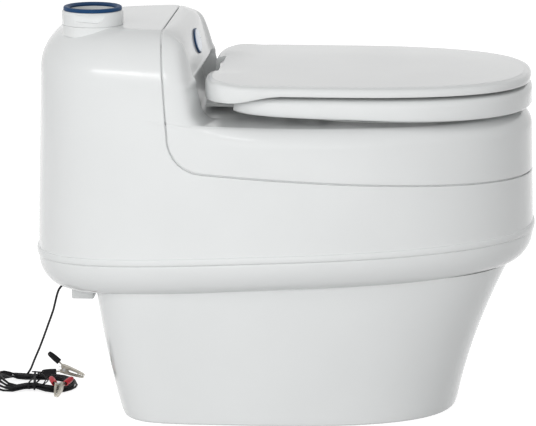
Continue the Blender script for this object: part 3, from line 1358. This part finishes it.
# %% [markdown]
# The badge is a bare oval plate in a blue rim, squeezed out of two cylinders and laid on the
# leaning face. The outlet block is a plate with a sloping top, bored for the drain and the cord.
# %% Badge and outlet block
BADGE_Z, BADGE_W, BADGE_H = 486, 56, 34
badge_at = place(face_x(BADGE_Z, 0) - FACE_DISH, 0, BADGE_Z) @ turn(math.pi / 2 - FACE_LEAN, "Y")


def oval_disc(name, inset, low, high, rounding):
    """An oval plate with a rounded front edge, from a cylinder that is squeezed and bevelled."""
    bpy.ops.mesh.primitive_cylinder_add(vertices=96, radius=1, depth=1)
    disc = bpy.context.object
    disc.name = name
    squeeze = (BADGE_H / 2 - inset, BADGE_W / 2 - inset, high - low)
    disc.data.transform(place(0, 0, (low + high) / 2) @ Matrix.Diagonal((*(v * MM for v in squeeze), 1)))
    return smoothed(moved(soften(disc, rounding, segments=4), badge_at))


settle(oval_disc("badge_rim", 0, 0, 2.2, 0.7), "hood", "seal_blue")
settle(oval_disc("badge_face", 1.6, 1.2, 3, 0.6), "hood", "badge_plate", "badge")

BLOCK_REAR, BLOCK_FRONT, BLOCK_Y, BLOCK_LOW, OUTLET_D = -286, -256, (-78, -4), 144, 25
block_side = [(BLOCK_REAR, BLOCK_LOW), (BLOCK_FRONT, BLOCK_LOW), (BLOCK_FRONT, 173.9), (BLOCK_REAR, 169.6)]
drain_block = plate("outlet_block_shell", *BLOCK_Y, block_side, 2.2)
combine(drain_block, "DIFFERENCE", rod((*DRAIN_AT[:2], DRAIN_AT[2] - 15), OUTLET_D / 2, 30),
        rod(DRAIN_AT, HOSE_D / 2, 60), rod((GLAND_AT[0] - 1, *GLAND_AT[1:]), 4.05, 9, 32, (1, 0, 0)),
        rod((BLOCK_REAR + 18, BLOCK_Y[0] + 8, 156), 2, 16, 24, (0, -1, 0)))
finished(soften(drain_block, 0.5), "casing", "white_shell", "outlet_block")

# %% [markdown]
# Rubber feet keep the ring off the deck and the lid off the ring, and they swell a little in the
# middle. The two seat springs are wound wire, and they flatten with the seat.
# %% Buffers and springs
def buffers(name, places, low, high, radius, body, node):
    """Round rubber feet at the given places on both sides, from their low to their high ends."""
    made = []
    for x, y in places:
        h = high(x) - low
        profile = [(0.2, 0), (radius - 1.6, 0), (radius - 0.7, 0.5), (radius, h * 0.35), (radius, h * 0.65),
                   (radius - 0.8, h - 0.4), (radius - 1.4, h), (0.2, h)]
        made += [turned(name, profile, 40, place(x, side * y, low)) for side in (-1, 1)]
    settle(joined(made), body, "black_rubber", node)


PRESS = 5
buffers("ring_feet", [(60, 155), (220, 140)], DECK_H + PRESS + 0.5, lambda x: float(under(x + 7)) + 9, 7,
        "ring", "ring_buffers")
buffers("lid_feet", [(40, 150), (255, 90)], SEAT_TOP + 1.8, lambda x: LID_TOP - LID_WALL - 1.8, 6,
        "lid", "lid_buffers")

PLATE_Z, SPRING_LOW, SPRING_TURNS, SPRING_R, WIRE = DECK_H + PRESS + 0.6, CUP_LOW + 3, 6, 7, 1.4
COIL_POINTS = 28
coils = []
for side in (-1, 1):
    route = []
    for i in range(SPRING_TURNS * COIL_POINTS + 1):
        a, t = 2 * math.pi * i / COIL_POINTS, i / (SPRING_TURNS * COIL_POINTS)
        z = mix(SPRING_LOW + WIRE / 2, PLATE_Z - WIRE / 2, 0.3 * smooth(t) + 0.7 * t)
        route.append((STEM_X + SPRING_R * math.cos(a), side * STEM_Y + SPRING_R * math.sin(a), z))
    coils.append(meshed(cord_curve("seat_coil", route, WIRE, 2)))
springs = joined(coils)
springs.name = "seat_coils"
settle(springs, "hood", "steel", "seat_springs")
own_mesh(springs)

# %% [markdown]
# A tie holds the hank at its waist. It is two thin bands that cross, each carried round the
# strands on a squared oval, and a short sleeve covers the place where the cord parts.
# %% Tie and sleeve
TIE_AT, TIE_REACH, TIE_LOW, TIE_W = (*HANK_AT, 7.7), 33, 4.8, 2.6
TIE_HALF_T, TIE_N = 0.45, 6


def tie_band(name, grow, across):
    """A thin band round the hank, as a superellipse in the cross plane, turned about Z."""
    rings = []
    for a in np.radians(np.arange(0, 360, 4)):
        ring = []
        for b in np.radians(np.arange(0, 360, 30)):
            out = grow + TIE_HALF_T + TIE_HALF_T * float(power(math.sin(b), 0.6))
            y = (TIE_REACH + out) * float(power(math.cos(a), 2 / TIE_N))
            z = (TIE_LOW + out) * float(power(math.sin(a), 2 / TIE_N))
            x = TIE_W / 2 * float(power(math.cos(b), 0.6))
            c, s = math.cos(across), math.sin(across)
            ring.append((x * c - y * s, x * s + y * c, z))
        rings.append(np.array(ring) + TIE_AT)
    return skin_between(name, rings, flat_ends=False, angle=60)


TIE_CROSS = math.radians(7)
ties = [tie_band("tie_band_inner", 0, -TIE_CROSS), tie_band("tie_band_outer", 0.95, TIE_CROSS)]
settle(ties[0], "casing", "black_rubber", "cord_tie")
settle(ties[1], "casing", "black_rubber")
way = (hank[-1] - hank[-3]) / np.linalg.norm(hank[-1] - hank[-3])
sleeve_profile = [(1.52, 0), (1.9, 0.3), (2.1, 1), (2.1, 8), (1.8, 9), (0.3, 9.2), (0.3, 0.5)]
sleeve = turned("split_sleeve", sleeve_profile, 32, place(*(hank[-1] - 5 * way)) @ along(way))
settle(sleeve, "casing", "black_rubber")

# %% [markdown]
# A battery clip is two bent channels on a pin, pressed together by a wound spring, with a vinyl
# sleeve on each handle. A half is a side profile that is widened, hollowed and drawn in towards
# its tip. The far half of a pair is the mirror image of the near one.
# %% Battery clips
GRIP_L, GRIP_R, OUTER_W, INNER_W, CLIP_WALL, CLIP_PIN_D, TAIL_W = 20, 4.2, 9, 6.4, 0.8, 2.4, 2.7
CLIP_TEETH = [(28.8, 0.3), (27.5, 1.4), (26, 0.3), (24.5, 1.4), (23, 0.3), (21.5, 1.4), (20, 0.3), (18, 1.6)]
CLIP_SIDE = [(-5, 2.4), (-6, 5), (-3, 6), (4, 5.6), (14, 4.8), (22, 4), (26, 3.3), (28.6, 2.2), (29, 1),
             *CLIP_TEETH, (8, 2.2), (3.5, 0), (-3.5, 0)]
CLIP_ROOM = [(-12, -4), (-12, 3.85), (-5, 4.9), (4, 4.8), (14, 4), (24, 2.9), (27.6, 1.9), (27.6, -4)]


def clip_half(name, w, at):
    """One jaw with its handle: a channel that is w wide at the pin and drawn in at the tip."""
    half = plate(name, -w / 2, w / 2, CLIP_SIDE, 0)
    handle = [block((-30, -TAIL_W, 2.2), (-3, TAIL_W, 3.4), 0.4)]
    handle += [block((-30, y, 1.4), (-16, y + 0.9, 3.3), 0.3) for y in (-TAIL_W, TAIL_W - 0.9)]
    for bar in handle:
        bar.data.transform(turn(SPREAD, "Y"))
    combine(half, "UNION", rod((0, -w / 2, 0), 3.5, w, 40, (0, 1, 0)), *handle)
    room = plate("room", CLIP_WALL - w / 2, w / 2 - CLIP_WALL, CLIP_ROOM, 0)
    combine(half, "DIFFERENCE", room, rod((0, -10, 0), CLIP_PIN_D / 2, 20, 32, (0, 1, 0)),
            rod((21, 0, -2), 1.1, 12, 24))
    for vertex in half.data.vertices:
        vertex.co.y *= 1 - 0.45 * float(smooth((vertex.co.x / MM - 3) / 26))
    return tidy_faces(moved(soften(half, 0.22, 40), at), 35, 0.005 * MM, outwards=False)


def clip_sleeve(name, at):
    """The vinyl sleeve of one handle, a little flatter than it is wide."""
    mouth = GRIP_R - 0.95
    profile = [(1.0, 0), (1.9, 0.1), (2.7, 0.7), (3.3, 2), (3.8, 5), (GRIP_R, 10), (GRIP_R, GRIP_L - 0.8),
               (GRIP_R - 0.3, GRIP_L), (GRIP_R - 0.8, GRIP_L), (mouth, GRIP_L - 0.8), (mouth, 9), (2.7, 4),
               (1.0, 2)]
    on_handle = turn(SPREAD, "Y") @ place(*TAIL) @ turn(math.pi / 2, "Y") @ Matrix.Diagonal((1, 0.86, 1, 1))
    return turned(name, profile, 48, at @ on_handle)


def clip_coil(name, at):
    """The wound spring: turns round the pin, with its two legs between the handles."""
    turns, steps, radius, reach = 4, 14, 2.15, 1.6
    points = [(-9, -reach, -4.0)]
    for i in range(turns * steps + 1):
        a = math.radians(-70) + 2 * math.pi * i / steps
        points.append((radius * math.sin(a), mix(-reach, reach, i / (turns * steps)), radius * math.cos(a)))
    points.append((-9, reach, 0.7))
    return moved(meshed(cord_curve(name, points, 0.7, 2)), at)


RIVET_END = [(1.18, 4.5), (2.0, 4.6), (2.0, 4.9), (1.2, 5.2), (0.1, 5.2)]
RIVET = [(r, -z) for r, z in RIVET_END[::-1]] + RIVET_END
clips = {}
for tone, at in clip_frames.items():
    grip = "black_rubber" if tone == "black" else "grip_red"
    jaw = f"{tone}_clip_jaw"
    clips[tone] = [
        settle(clip_half(f"{tone}_upper_half", OUTER_W, at), jaw, "nickel", f"{tone}_jaw_upper"),
        settle(clip_half(f"{tone}_lower_half", INNER_W, at @ FLIP), "casing", "nickel", f"{tone}_jaw_lower"),
        settle(clip_sleeve(f"{tone}_upper_sleeve", at), jaw, grip, f"{tone}_grip_upper"),
        settle(clip_sleeve(f"{tone}_lower_sleeve", at @ FLIP), "casing", grip, f"{tone}_grip_lower"),
        settle(turned(f"{tone}_rivet", RIVET, 32, at @ turn(math.pi / 2, "X")), "casing", "steel",
               f"{tone}_pin"),
        settle(clip_coil(f"{tone}_coil", at), "casing", "steel", f"{tone}_spring"),
    ]

tuple(v * MM for v in DROP[0])
length_of(cord_route) * MM
for tone, lead in leads.items():
    route = lead_routes[tone]
    length_of(route) * MM
    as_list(clips[tone])
